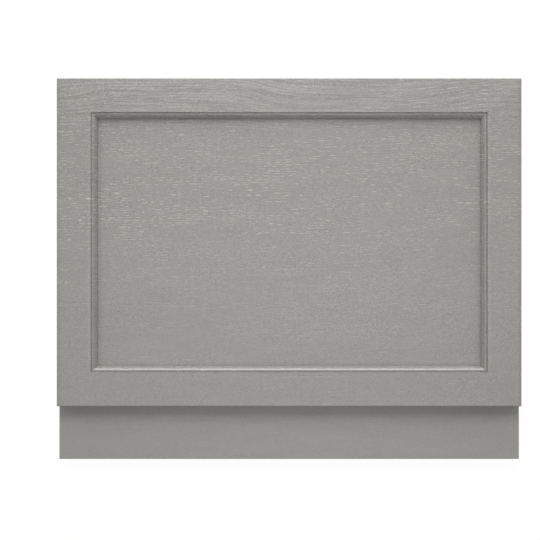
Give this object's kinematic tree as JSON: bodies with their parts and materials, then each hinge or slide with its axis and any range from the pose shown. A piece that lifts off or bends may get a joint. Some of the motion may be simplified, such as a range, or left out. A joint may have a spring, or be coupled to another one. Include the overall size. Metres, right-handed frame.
{
  "type": "bath end panel",
  "caption": "Flat rectangular bath end panel with a moulded recessed field and a set-back plinth, wrapped in grey woodgrain foil; it closes the open end of a bath.",
  "frame": {"origin": "on the floor under the middle of the whole panel, which lies on its back with its face up", "axes": "+X across the bath's end, +Y up the panel from plinth to top edge, +Z out of the panel's face"},
  "size_m": [0.68, 0.56, 0.036],
  "materials": {
    "woodgrain_foil": "satin"
  },
  "bodies": {
    "root": {"panel": "woodgrain_foil", "plinth": "woodgrain_foil"}
  },
  "joints": []
}
